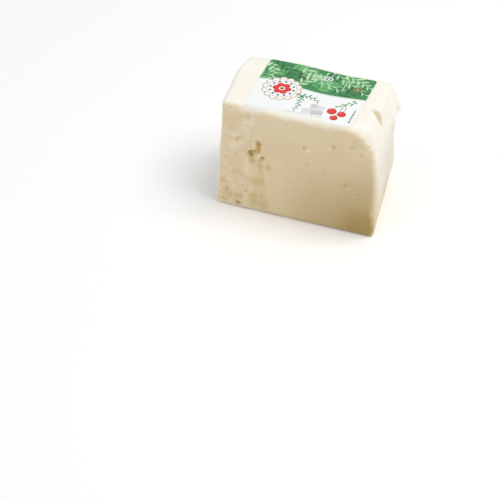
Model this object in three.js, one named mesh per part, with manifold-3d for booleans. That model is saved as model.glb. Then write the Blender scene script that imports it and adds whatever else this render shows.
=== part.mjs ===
// A cut block of brined white cheese with a paper label lying on its top face.
// Units are millimetres and +Z is up. While it is shaped, x runs along the cut face from its left end,
// y runs back from the cut face, and the block stands on z = 0. At the end it is centred on the origin.
import * as THREE from "three";
import { mergeVertices } from "three/addons/utils/BufferGeometryUtils.js";
import Module from "manifold-3d";

const wasm = await Module();
wasm.setup();

// Driving dimensions of the block, before its sides are warped
const WIDTH = 104;
const DEPTH = 60;
const HEIGHT = 78.5;

// Radii of its edges
const MOULDED_RADIUS = 5;
const CUT_RADIUS = 2.8;
const FOOT_RADIUS = 3;
const WORN_CORNER_RADIUS = 9;
const WORN_CORNER_REACH = { s: 0.84, t: 0.35, h: 0.72 };

// The upright sides: the x of each at a share h of the height, by the cut face and by the back
const LEFT_SIDE = [
  { h: 0, cut: -1.8, back: -0.6 },
  { h: 0.5, cut: 0.8, back: 0.4 },
  { h: 1, cut: 3.1, back: 1.8 },
];
const LEFT_BELLY = 2.6;
const RIGHT_SIDE = [
  { h: 0, cut: 104, back: 93.5 },
  { h: 0.2, cut: 105.3, back: 96.8 },
  { h: 0.5, cut: 106, back: 95.7 },
  { h: 0.78, cut: 103, back: 100.6 },
  { h: 1, cut: 98.6, back: 96.5 },
];

// The cut face leans back and stands out in its middle, and the top is crowned but dips behind
const CUT_LEAN = 1.2;
const CUT_BELLY = 1.4;
const CROWN = 0.7;
const REAR_DIP = 1.3;
const REAR_DIP_X = 66;
const REAR_DIP_REACH = 17;

// Surface relief
const DENT = 0.22;
const DENT_SIZE = 19;
const FOOT_FADE = 5;
const CRUMBLY_WIDTH = 30;
const CRUMBLY_BLEND = 5;
const CRUMBLY_SET_BACK = 0.7;
const CRUMBLY_RELIEF = 0.9;
const CRUMBLY_SIZE = 5.5;
const CREASE_RELIEF = 0.35;
const CREASE_SIZE = 6;
const CREASE_LENGTH = 26;

// Grid that carries the skin
const ROUNDING_STEPS = 3;
const COARSE_STEP = 5;
const FINE_STEP = 2.6;

// Paper label, placed on the top face by its front left corner
const LABEL_X = 16.2;
const LABEL_Y = 3.2;
const LABEL_WIDTH = 70;
const LABEL_DEPTH = 52;
const LABEL_THICKNESS = 0.3;
const LABEL_GAP = 0.3;
const LABEL_CORNER = 2;
const LABEL_COLUMNS = 18;
const LABEL_ROWS = 12;

// The larger mechanical openings of the cut face: centre, half width and half height
const OPENINGS = [
  { x: 27.6, z: 52.2, wide: 1.5, tall: 2.7 },
  { x: 28.0, z: 48.2, wide: 1.2, tall: 1.8 },
  { x: 23.9, z: 44.2, wide: 2.5, tall: 1.4 },
  { x: 30.2, z: 42.7, wide: 1.1, tall: 1.1 },
  { x: 23.2, z: 39.4, wide: 1.2, tall: 1.7 },
  { x: 34.0, z: 37.2, wide: 1.3, tall: 1.1 },
  { x: 28.4, z: 30.2, wide: 0.9, tall: 1.9 },
  { x: 29.0, z: 23.6, wide: 1.1, tall: 1.4 },
  { x: 8.0, z: 53.8, wide: 4.6, tall: 0.5 },
  { x: 11.0, z: 32.5, wide: 4.0, tall: 0.6 },
  { x: 6.4, z: 13.3, wide: 1.0, tall: 1.0 },
  { x: 24.2, z: 14.0, wide: 1.1, tall: 1.0 },
  { x: 31.6, z: 8.4, wide: 1.2, tall: 1.5 },
  { x: 57.8, z: 58.2, wide: 0.9, tall: 0.9 },
  { x: 76.5, z: 63.2, wide: 1.1, tall: 1.2 },
  { x: 88.2, z: 65.2, wide: 0.9, tall: 0.8 },
  { x: 84.4, z: 36.4, wide: 1.7, tall: 1.1 },
  { x: 93.0, z: 31.6, wide: 0.9, tall: 0.8 },
];
const OPENING_DEPTH_SHARE = 1.2;
const PIN_COUNT = 14;
const PIN_RADIUS = 0.75;
const SEED = 20;

// The long shallow cavity on the rounded top right edge
const CAVITY = { x: 98.2, y: 20.5, z: 76.2, long: 8, wide: 2.4, deep: 2.2, turn: -0.95 };

/** Smooth step from 0 at low to 1 at high, which may lie either way round. */
function ease(low, high, value) {
  const share = THREE.MathUtils.clamp((value - low) / (high - low), 0, 1);
  return share * share * (3 - 2 * share);
}

/** A repeatable value from 0 to 1 for one point of a whole-number lattice. */
function latticeValue(i, j, k) {
  const value = Math.sin(i * 127.1 + j * 311.7 + k * 74.7) * 43758.5453;
  return value - Math.floor(value);
}

/** Smooth noise from -1 to 1 whose bumps are as large as size says along each axis. */
function noise(point, size) {
  const cell = point.clone().divide(size);
  const low = cell.clone().floor();
  const part = cell.sub(low);
  const [fx, fy, fz] = part.toArray().map((share) => ease(0, 1, share));
  let sum = 0;
  for (const [dx, wx] of [[0, 1 - fx], [1, fx]]) {
    for (const [dy, wy] of [[0, 1 - fy], [1, fy]]) {
      for (const [dz, wz] of [[0, 1 - fz], [1, fz]]) {
        sum += wx * wy * wz * latticeValue(low.x + dx, low.y + dy, low.z + dz);
      }
    }
  }
  return 2 * sum - 1;
}

/** The edge radius of the block at a share of its width, depth and height. */
function edgeRadius(s, t, h) {
  const sides = THREE.MathUtils.lerp(CUT_RADIUS, MOULDED_RADIUS, ease(0, 0.3, t));
  const reach = WORN_CORNER_REACH;
  const worn = ease(reach.s, 0.98, s) * ease(reach.t, 0, t) * ease(reach.h, 0.97, h);
  const upper = THREE.MathUtils.lerp(sides, WORN_CORNER_RADIUS, worn);
  return THREE.MathUtils.lerp(FOOT_RADIUS, upper, ease(0, 0.25, h));
}

/** A smooth reading of a side's rows: its x at a share of the depth and height. */
function sideReader(rows) {
  const heights = new Float32Array(rows.map((row) => row.h));
  const places = new Float32Array(rows.flatMap((row) => [row.cut, row.back]));
  const reader = new THREE.CubicInterpolant(heights, places, 2);
  return (t, h) => {
    const [cut, back] = reader.evaluate(THREE.MathUtils.clamp(h, 0, 1));
    return THREE.MathUtils.lerp(cut, back, t);
  };
}

const leftSide = sideReader(LEFT_SIDE);
const rightSide = sideReader(RIGHT_SIDE);

/** Leans, tapers and bows a point of the straight rounded block into the real one. */
function warp(point) {
  const s = point.x / WIDTH;
  const t = point.y / DEPTH;
  const h = point.z / HEIGHT;
  const left = leftSide(t, h) - LEFT_BELLY * h * Math.sin(Math.PI * t);
  const right = rightSide(t, h);
  const cutBelly = CUT_BELLY * Math.sin(Math.PI * s) * Math.sin(Math.PI * h);
  const dip = REAR_DIP * Math.exp(-(((point.x - REAR_DIP_X) / REAR_DIP_REACH) ** 2)) * ease(0.55, 1, t);
  const crown = CROWN * Math.sin(Math.PI * s) * Math.sin(Math.PI * t) - dip;
  return new THREE.Vector3(
    left + s * (right - left),
    point.y + (1 - t) * (CUT_LEAN * h - cutBelly),
    point.z + h * crown,
  );
}

/** How far the skin stands out along its normal at a point: dents, crumbly cut and creases. */
function relief(point, normal) {
  const dents = DENT * noise(point, new THREE.Vector3().setScalar(DENT_SIZE));
  const onCut = ease(-0.5, -0.95, normal.y);
  const crumbly = onCut * ease(CRUMBLY_WIDTH + CRUMBLY_BLEND, CRUMBLY_WIDTH - CRUMBLY_BLEND, point.x);
  const crags = CRUMBLY_RELIEF * noise(point, new THREE.Vector3().setScalar(CRUMBLY_SIZE));
  const onRight = ease(0.3, 0.9, normal.x);
  const creaseCell = new THREE.Vector3(CREASE_SIZE, CREASE_SIZE, CREASE_LENGTH);
  const creases = CREASE_RELIEF * onRight * noise(point, creaseCell);
  const foot = ease(0, FOOT_FADE, point.z);
  return foot * (dents + creases + crumbly * (crags - CRUMBLY_SET_BACK));
}

/** The point of the finished skin above a share of the width, depth and height on the box's surface. */
function skinPoint(s, t, h) {
  const onBox = new THREE.Vector3(s * WIDTH, t * DEPTH, h * HEIGHT);
  const radius = edgeRadius(s, t, h);
  const low = new THREE.Vector3().setScalar(radius);
  const high = new THREE.Vector3(WIDTH - radius, DEPTH - radius, HEIGHT - radius);
  const inner = onBox.clone().clamp(low, high);
  const normal = onBox.clone().sub(inner).normalize();
  const rounded = inner.addScaledVector(normal, radius);
  const warped = warp(rounded);
  return warped.addScaledVector(normal, relief(warped, normal));
}

/** Grid lines from 0 to 1 across a length, close together where the edges are rounded. */
function gridLines(length, fineUntil = 0) {
  const zone = MOULDED_RADIUS;
  const rounding = Array.from({ length: ROUNDING_STEPS }, (_, i) => {
    const angle = (Math.PI / 4) * (1 - i / ROUNDING_STEPS);
    return zone * (1 - Math.tan(angle));
  });
  const fineEnd = Math.max(fineUntil, zone);
  const fineCount = Math.round((fineEnd - zone) / FINE_STEP);
  const fine = Array.from({ length: fineCount }, (_, i) => zone + ((fineEnd - zone) * i) / fineCount);
  const plain = length - zone - fineEnd;
  const plainCount = Math.round(plain / COARSE_STEP);
  const coarse = Array.from({ length: plainCount }, (_, i) => fineEnd + (plain * i) / plainCount);
  const mirrored = rounding.map((value) => length - value).reverse();
  return [...rounding, ...fine, ...coarse, length - zone, ...mirrored].map((value) => value / length);
}

/** Turns loose triangles into a closed indexed geometry with shared vertices. */
function weld(positions) {
  const loose = new THREE.BufferGeometry();
  loose.setAttribute("position", new THREE.Float32BufferAttribute(positions, 3));
  return mergeVertices(loose, 1e-4);
}

/** The corners of the flat foot, once round it, as shares of the width and depth. */
function footOutline(across, back) {
  const flatS = across.slice(ROUNDING_STEPS, across.length - ROUNDING_STEPS);
  const flatT = back.slice(ROUNDING_STEPS, back.length - ROUNDING_STEPS);
  const [lowS, highS] = [flatS[0], flatS.at(-1)];
  const [lowT, highT] = [flatT[0], flatT.at(-1)];
  return [
    ...flatS.slice(0, -1).map((s) => [s, lowT]),
    ...flatT.slice(0, -1).map((t) => [highS, t]),
    ...flatS.slice(1).reverse().map((s) => [s, highT]),
    ...flatT.slice(1).reverse().map((t) => [lowS, t]),
  ];
}

/** The whole skin of the block: five gridded faces and a foot that is one flat fan inside its rounding. */
function blockSkin() {
  const across = gridLines(WIDTH, CRUMBLY_WIDTH + CRUMBLY_BLEND);
  const back = gridLines(DEPTH);
  const up = gridLines(HEIGHT);
  const positions = [];
  const triangle = (a, b, c) => [a, b, c].forEach((corner) => positions.push(...corner.toArray()));
  const face = (us, vs, place, skipFlat = false) => {
    const lastU = us.length - 1 - ROUNDING_STEPS;
    const lastV = vs.length - 1 - ROUNDING_STEPS;
    const flat = (i, j) => i >= ROUNDING_STEPS && i < lastU && j >= ROUNDING_STEPS && j < lastV;
    for (let i = 0; i + 1 < us.length; i += 1) {
      for (let j = 0; j + 1 < vs.length; j += 1) {
        if (skipFlat && flat(i, j)) continue;
        const [a, b] = [place(us[i], vs[j]), place(us[i + 1], vs[j])];
        const [c, d] = [place(us[i + 1], vs[j + 1]), place(us[i], vs[j + 1])];
        triangle(a, b, c);
        triangle(a, c, d);
      }
    }
  };
  face(across, up, (s, h) => skinPoint(s, 0, h));
  face(up, across, (h, s) => skinPoint(s, 1, h));
  face(across, back, (s, t) => skinPoint(s, t, 1));
  face(up, back, (h, t) => skinPoint(0, t, h));
  face(back, up, (t, h) => skinPoint(1, t, h));
  face(back, across, (t, s) => skinPoint(s, t, 0), true);
  const middle = skinPoint(0.5, 0.5, 0);
  const foot = footOutline(across, back);
  foot.forEach(([s, t], i) => {
    const [nextS, nextT] = foot[(i + 1) % foot.length];
    triangle(middle, skinPoint(nextS, nextT, 0), skinPoint(s, t, 0));
  });
  return weld(positions);
}

/** A closed three.js geometry as a solid that can be cut. */
function toSolid(geometry) {
  return new wasm.Manifold(
    new wasm.Mesh({
      numProp: 3,
      vertProperties: new Float32Array(geometry.attributes.position.array),
      triVerts: new Uint32Array(geometry.index.array),
    }),
  );
}

/** A cut solid as a three.js geometry again. */
function toGeometry(solid) {
  const mesh = solid.getMesh();
  const geometry = new THREE.BufferGeometry();
  geometry.setAttribute("position", new THREE.Float32BufferAttribute(mesh.vertProperties, 3));
  geometry.setIndex(new THREE.Uint32BufferAttribute(mesh.triVerts, 1));
  return geometry;
}

/** A seeded generator of values from 0 to 1. */
function seeded(seed) {
  let state = seed;
  return () => {
    state = (state * 1664525 + 1013904223) % 4294967296;
    return state / 4294967296;
  };
}

/** An uneven egg that cuts one opening, with its half sizes, place and turn. */
function openingCutter(centre, halfSizes, turn, detail) {
  const egg = new THREE.IcosahedronGeometry(1, detail);
  egg.deleteAttribute("normal");
  egg.deleteAttribute("uv");
  egg.scale(...halfSizes);
  egg.applyMatrix4(new THREE.Matrix4().makeRotationFromEuler(turn));
  egg.translate(...centre.toArray());
  return toSolid(mergeVertices(egg, 1e-4));
}

/** The point of the cut face nearest a wanted x and z. */
function onCutFace(x, z) {
  const share = new THREE.Vector2(x / WIDTH, z / HEIGHT);
  for (let round = 0; round < 8; round += 1) {
    const found = skinPoint(share.x, 0, share.y);
    share.x += (x - found.x) / WIDTH;
    share.y += (z - found.z) / HEIGHT;
  }
  return skinPoint(share.x, 0, share.y);
}

/** Every cutter: the named openings, small pinholes thrown by a seeded rule, and the top cavity. */
function cutters() {
  const random = seeded(SEED);
  const made = OPENINGS.map(({ x, z, wide, tall }) => {
    const deep = OPENING_DEPTH_SHARE * Math.min(wide, tall);
    const turn = new THREE.Euler(0, 0.6 * (random() - 0.5), 0);
    return openingCutter(onCutFace(x, z), [wide, deep, tall], turn, 1);
  });
  for (let pin = 0; pin < PIN_COUNT; pin += 1) {
    const x = WIDTH * THREE.MathUtils.lerp(0.06, 0.94, random() ** 1.5);
    const z = HEIGHT * THREE.MathUtils.lerp(0.1, 0.9, random());
    const radius = PIN_RADIUS * THREE.MathUtils.lerp(0.6, 1, random());
    const turn = new THREE.Euler(0, Math.PI * random(), 0);
    made.push(openingCutter(onCutFace(x, z), [radius * 1.4, radius, radius], turn, 0));
  }
  const { x, y, z, long, wide, deep, turn } = CAVITY;
  const leaned = new THREE.Euler(0, 0.5, turn);
  made.push(openingCutter(new THREE.Vector3(x, y, z), [long, wide, deep], leaned, 2));
  return made;
}

/** The share of width and depth whose top skin lies under a wanted x and y. */
function underLabel(x, y) {
  const share = new THREE.Vector2(x / WIDTH, y / DEPTH);
  for (let round = 0; round < 12; round += 1) {
    const found = skinPoint(share.x, share.y, 1);
    share.x += (x - found.x) / WIDTH;
    share.y += (y - found.y) / DEPTH;
  }
  return share;
}

/** A point of the label's sheet, from -1 to 1 each way over its outline, at a height above the cheese. */
function labelPoint(u, v, height) {
  const half = new THREE.Vector2(LABEL_WIDTH / 2, LABEL_DEPTH / 2);
  const flat = new THREE.Vector2(u * half.x, v * half.y);
  const reach = half.clone().subScalar(LABEL_CORNER);
  const inner = flat.clone().clamp(reach.clone().negate(), reach);
  const over = flat.clone().sub(inner);
  const furthest = Math.max(Math.abs(over.x), Math.abs(over.y));
  if (over.length() > 0) over.setLength(furthest);
  const placed = inner.add(over).add(half).add(new THREE.Vector2(LABEL_X, LABEL_Y));
  const share = underLabel(placed.x, placed.y);
  const below = skinPoint(share.x, share.y, 1);
  return new THREE.Vector3(placed.x, placed.y, below.z + height);
}

/** The label as a closed thin sheet: both faces split alike, and a rim between them. */
function labelSkin() {
  const positions = [];
  const quad = (a, b, c, d) => [a, b, c, a, c, d].forEach((corner) => positions.push(...corner.toArray()));
  const low = LABEL_GAP;
  const high = LABEL_GAP + LABEL_THICKNESS;
  const lines = (count) => Array.from({ length: count + 1 }, (_, i) => (2 * i) / count - 1);
  const us = lines(LABEL_COLUMNS);
  const vs = lines(LABEL_ROWS);
  for (let i = 0; i < LABEL_COLUMNS; i += 1) {
    for (let j = 0; j < LABEL_ROWS; j += 1) {
      const corners = [[us[i], vs[j]], [us[i + 1], vs[j]], [us[i + 1], vs[j + 1]], [us[i], vs[j + 1]]];
      const upper = corners.map(([u, v]) => labelPoint(u, v, high));
      const lower = corners.map(([u, v]) => labelPoint(u, v, low));
      quad(...upper);
      quad(lower[0], lower[3], lower[2], lower[1]);
    }
  }
  const rim = [
    ...us.slice(0, -1).map((u) => [u, -1]),
    ...vs.slice(0, -1).map((v) => [1, v]),
    ...us.slice(1).reverse().map((u) => [u, 1]),
    ...vs.slice(1).reverse().map((v) => [-1, v]),
  ];
  rim.forEach(([u, v], i) => {
    const [nextU, nextV] = rim[(i + 1) % rim.length];
    const [under, nextUnder] = [labelPoint(u, v, low), labelPoint(nextU, nextV, low)];
    const [over, nextOver] = [labelPoint(u, v, high), labelPoint(nextU, nextV, high)];
    quad(under, nextUnder, nextOver, over);
  });
  return weld(positions);
}

/** Names a mesh and gives it its matt or satin material. */
function named(name, geometry, color, roughness) {
  geometry.computeVertexNormals();
  const mesh = new THREE.Mesh(geometry, new THREE.MeshStandardMaterial({ color, roughness, metalness: 0 }));
  mesh.name = name;
  return mesh;
}

const cutBlock = cutters().reduce((solid, cutter) => solid.subtract(cutter), toSolid(blockSkin()));
const block = named("cheese_block", toGeometry(cutBlock), 0xf2ead2, 0.5);
const label = named("label", labelSkin(), 0xf3f6f1, 0.4);

const part = new THREE.Group();
part.add(block, label);
const middle = new THREE.Box3().setFromObject(part).getCenter(new THREE.Vector3());
part.children.forEach((mesh) => mesh.position.set(-middle.x, -middle.y, 0));

export default part;
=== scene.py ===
"""A cut block of brined white cheese with a printed paper label lying on its top.

Shapes are worked out in millimetres in the block's own frame: x runs along the cut face from its left end,
y runs back from the cut face and z is up from the foot. Place turns them into metres in the shared frame.
"""

import logging
import math
from collections.abc import Callable, Sequence
from dataclasses import dataclass, field
from enum import Enum

import bpy
import numpy as np
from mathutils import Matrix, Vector, noise
from mathutils.geometry import delaunay_2d_cdt


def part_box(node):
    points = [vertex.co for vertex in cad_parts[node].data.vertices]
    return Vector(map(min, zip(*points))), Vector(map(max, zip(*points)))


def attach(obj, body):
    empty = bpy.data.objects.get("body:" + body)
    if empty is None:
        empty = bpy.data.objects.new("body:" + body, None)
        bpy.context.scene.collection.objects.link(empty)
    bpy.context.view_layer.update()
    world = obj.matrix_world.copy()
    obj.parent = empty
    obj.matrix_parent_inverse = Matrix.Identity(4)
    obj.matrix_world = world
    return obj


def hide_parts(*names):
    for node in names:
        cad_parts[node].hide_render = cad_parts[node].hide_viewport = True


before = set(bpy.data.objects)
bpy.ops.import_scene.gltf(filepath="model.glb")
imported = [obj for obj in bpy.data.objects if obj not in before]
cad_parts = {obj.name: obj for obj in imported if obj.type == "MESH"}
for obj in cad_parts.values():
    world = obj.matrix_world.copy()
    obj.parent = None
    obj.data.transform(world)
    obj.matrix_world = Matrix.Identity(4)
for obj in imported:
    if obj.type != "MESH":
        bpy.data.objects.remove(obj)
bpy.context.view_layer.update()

MM = 0.001
BODY = "root"
BLOCK_NODE = "cheese_block"
LABEL_NODE = "label"

Array = np.ndarray
Outline = np.ndarray
Pair = tuple[float, float]
Triple = tuple[float, float, float]
Mark = tuple[float, float, float, float, float]
Socket = bpy.types.NodeSocket

log = logging.getLogger("cheese")


def ease(low: float, high: float, value: Array) -> Array:
    """Steps smoothly from 0 at low to 1 at high, which may lie either way round.

    Args:
        low: where the step starts.
        high: where the step ends.
        value: the values to step.

    Returns:
        The stepped values.
    """
    share = np.clip((value - low) / (high - low), 0, 1)
    return share * share * (3 - 2 * share)


def linear(rgb: Sequence[float]) -> tuple[float, float, float, float]:
    """Turns an sRGB colour of 0 to 255 into the linear colour that a shader takes.

    Args:
        rgb: red, green and blue from 0 to 255.

    Returns:
        Linear red, green, blue and a full alpha.
    """
    shares = [channel / 255 for channel in rgb]
    return (*(s / 12.92 if s <= 0.04045 else ((s + 0.055) / 1.055) ** 2.4 for s in shares), 1.0)


def lattice_value(i: Array, j: Array, k: Array) -> Array:
    """Gives a repeatable value from 0 to 1 for each point of a whole-number lattice.

    Args:
        i: the points' first coordinates.
        j: their second coordinates.
        k: their third coordinates.

    Returns:
        One value for each point.
    """
    value = np.sin(i * 127.1 + j * 311.7 + k * 74.7) * 43758.5453
    return value - np.floor(value)


def broad_noise(points: Array, size: Sequence[float] | float) -> Array:
    """Gives the broad smooth bumps that the block's solid has too.

    Args:
        points: places in millimetres, one to a row.
        size: how large the bumps are, alike or along x, y and z.

    Returns:
        Values from -1 to 1.
    """
    cell = points / np.asarray(size)
    low = np.floor(cell)
    part = ease(0, 1, cell - low)
    total = np.zeros(len(points))
    for corner in range(8):
        step = np.array([corner & 1, corner >> 1 & 1, corner >> 2 & 1])
        weight = np.prod(np.where(step, part, 1 - part), axis=1)
        total += weight * lattice_value(*(low + step).T)
    return 2 * total - 1


def fine_noise(points: Array, size: Sequence[float] | float, octaves: int = 3) -> Array:
    """Gives fractal noise for fine relief.

    Args:
        points: places in millimetres, one to a row.
        size: how large the largest bumps are, alike or along x, y and z.
        octaves: how many finer layers are added.

    Returns:
        Values of about -1 to 1.
    """
    return np.array([noise.fractal(place, 1.0, 2.0, octaves) for place in (points / size).tolist()])


def bell(middle: float, reach: float, value: Array) -> Array:
    """Rises smoothly to 1 at middle and has nearly gone two reaches away."""
    return np.exp(-(((value - middle) / reach) ** 2))


def linked(name: str, data: bpy.types.ID) -> bpy.types.Object:
    """Makes an object of a mesh, a camera or a lamp, and puts it in the scene."""
    made = bpy.data.objects.new(name, data)
    bpy.context.scene.collection.objects.link(made)
    return made


def settled(made: bpy.types.Object) -> bpy.types.Mesh:
    """Gives an object's mesh with its modifiers applied."""
    return bpy.data.meshes.new_from_object(made.evaluated_get(bpy.context.evaluated_depsgraph_get()))


def point_from(made: bpy.types.Object, place: Vector, way: Vector) -> None:
    """Puts a camera or a lamp in its place and turns it to look one way."""
    made.location = place
    made.rotation_mode = "QUATERNION"
    made.rotation_quaternion = way.to_track_quat("-Z", "Y")


def graded_lines(length: float, spacing: Callable[[Array], Array]) -> Array:
    """Lays grid lines across a length as far apart as a rule says.

    Args:
        length: the length to cross, in millimetres.
        spacing: the wanted distance between lines at each place.

    Returns:
        Shares of the length from 0 to 1.
    """
    places = np.linspace(0, length, 2000)
    steps = np.concatenate(([0], np.cumsum(np.diff(places) / spacing(places[1:]))))
    count = math.ceil(steps[-1])
    return np.interp(np.linspace(0, steps[-1], count + 1), steps, places) / length


class Opening(Enum):
    """The kinds of marks on the cut face: depth against their half width, stain and softness."""

    HOLE = (0.74, 0.9, 0.36)
    PIN = (0.55, 0.46, 0.4)
    SPOT = (0.3, 0.58, 0.6)
    SLIT = (0.4, 0.22, 0.5)
    SMEAR = (0.02, 0.46, 0.8)
    HAZE = (0.0, 0.16, 0.95)
    FLAKE = (-0.25, 0.0, 0.45)


# The marks that can be made out: x and z of the middle, half width, half height and turn in radians
MARKS: dict[Opening, tuple[Mark, ...]] = {
    Opening.HOLE: (
        (27.9, 52.0, 1.6, 2.4, 0.05), (27.6, 48.0, 1.5, 1.9, -0.15), (24.9, 46.3, 2.3, 1.3, 0.45),
        (22.7, 43.6, 2.0, 2.1, 0.3), (30.5, 42.6, 1.2, 1.5, 0.0), (13.9, 3.6, 1.7, 1.2, 0.1),
    ),
    Opening.PIN: (
        (6.4, 12.6, 1.1, 1.6, 0.0), (13.2, 52.6, 0.9, 0.7, 0.0), (58.0, 57.9, 1.0, 1.2, 0.0),
        (92.9, 31.3, 0.8, 0.8, 0.0),
    ),
    Opening.SPOT: (
        (23.2, 39.6, 1.8, 2.0, 0.0), (28.6, 40.3, 1.2, 0.9, 0.0), (34.8, 37.3, 1.6, 1.7, 0.0),
        (24.3, 12.2, 1.1, 1.3, 0.0), (28.2, 5.2, 0.9, 0.8, 0.0), (4.4, 4.4, 2.0, 0.8, -0.4),
        (19.0, 13.8, 1.2, 0.9, 0.0), (76.5, 63.0, 1.2, 1.5, 0.0), (84.8, 36.8, 1.0, 1.4, 0.35),
    ),
    Opening.SLIT: (
        (9.4, 53.4, 6.4, 0.5, 0.1), (5.6, 38.0, 3.0, 0.35, -0.15), (20.6, 30.2, 2.2, 0.35, 0.3),
    ),
    Opening.SMEAR: (
        (29.4, 35.8, 1.4, 5.2, 0.04), (30.9, 25.0, 1.2, 4.6, 0.08), (26.0, 23.4, 4.4, 2.8, 0.1),
        (24.8, 10.4, 3.0, 5.6, 0.0), (30.4, 13.6, 2.2, 2.2, 0.4), (32.0, 7.4, 2.4, 4.8, 0.06),
        (3.6, 18.4, 1.5, 2.0, 0.0), (8.6, 8.6, 3.2, 1.8, 0.15), (13.6, 8.8, 4.4, 1.8, 0.1),
        (88.4, 65.4, 1.4, 1.0, 0.2), (94.6, 61.1, 0.9, 1.0, 0.0), (59.7, 45.4, 1.2, 1.0, 0.0),
        (82.6, 35.2, 1.5, 0.8, 0.2), (86.8, 37.6, 1.3, 0.7, 0.4),
    ),
    Opening.HAZE: (
        (26.5, 45.5, 6.0, 8.5, 0.0), (25.5, 12.0, 6.0, 9.0, 0.0), (34.8, 37.3, 2.8, 3.6, 0.0),
        (15.6, 71.0, 5.2, 2.4, 0.1), (8.0, 66.0, 3.2, 2.0, -0.1), (11.3, 32.3, 4.2, 2.4, 0.0),
        (13.3, 26.4, 3.0, 1.8, 0.0), (60.7, 27.2, 1.4, 0.9, 0.0), (78.3, 33.2, 1.4, 0.9, 0.0),
        (91.5, 68.5, 3.4, 1.6, -0.5), (49.0, 31.0, 3.6, 0.8, 0.0),
    ),
    Opening.FLAKE: (
        (28.3, 44.4, 1.4, 1.2, 0.6), (25.8, 42.0, 1.3, 0.8, -0.2), (24.6, 50.4, 1.2, 1.9, 0.2),
        (10.4, 54.6, 6.0, 0.6, 0.1), (60.9, 56.0, 2.0, 0.8, 0.1), (73.5, 61.2, 1.0, 0.7, 0.0),
        (86.6, 34.6, 1.9, 1.2, 0.1), (96.5, 63.0, 2.4, 1.6, -0.8),
    ),
}


@dataclass(frozen=True)
class Side:
    """The x of an upright side by the cut face and by the back, at some shares of the height."""

    heights: tuple[float, ...]
    by_cut: tuple[float, ...]
    by_back: tuple[float, ...]

    @staticmethod
    def curve(heights: Array, values: Array, at: Array) -> Array:
        """Reads a smooth curve through a few values.

        Args:
            heights: where the values stand.
            values: the values.
            at: where to read the curve.

        Returns:
            The curve's value at each place.
        """
        slopes = np.diff(values) / np.diff(heights)
        tangents = np.concatenate((slopes[:1], (slopes[:-1] + slopes[1:]) / 2, slopes[-1:]))
        i = np.clip(np.searchsorted(heights, at) - 1, 0, len(heights) - 2)
        run = heights[i + 1] - heights[i]
        p = (at - heights[i]) / run
        start = (1 + 2 * p) * (1 - p) ** 2 * values[i] + p * (1 - p) ** 2 * run * tangents[i]
        stop = p * p * (3 - 2 * p) * values[i + 1] + p * p * (p - 1) * run * tangents[i + 1]
        return start + stop

    def at(self, t: Array, h: Array) -> Array:
        """Gives the side's x.

        Args:
            t: shares of the depth, 0 at the cut.
            h: shares of the height.

        Returns:
            The x of each place, in millimetres.
        """
        heights = np.array(self.heights)
        level = np.clip(h, 0, 1)
        cut = self.curve(heights, np.array(self.by_cut), level)
        back = self.curve(heights, np.array(self.by_back), level)
        return cut + t * (back - cut)


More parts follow.
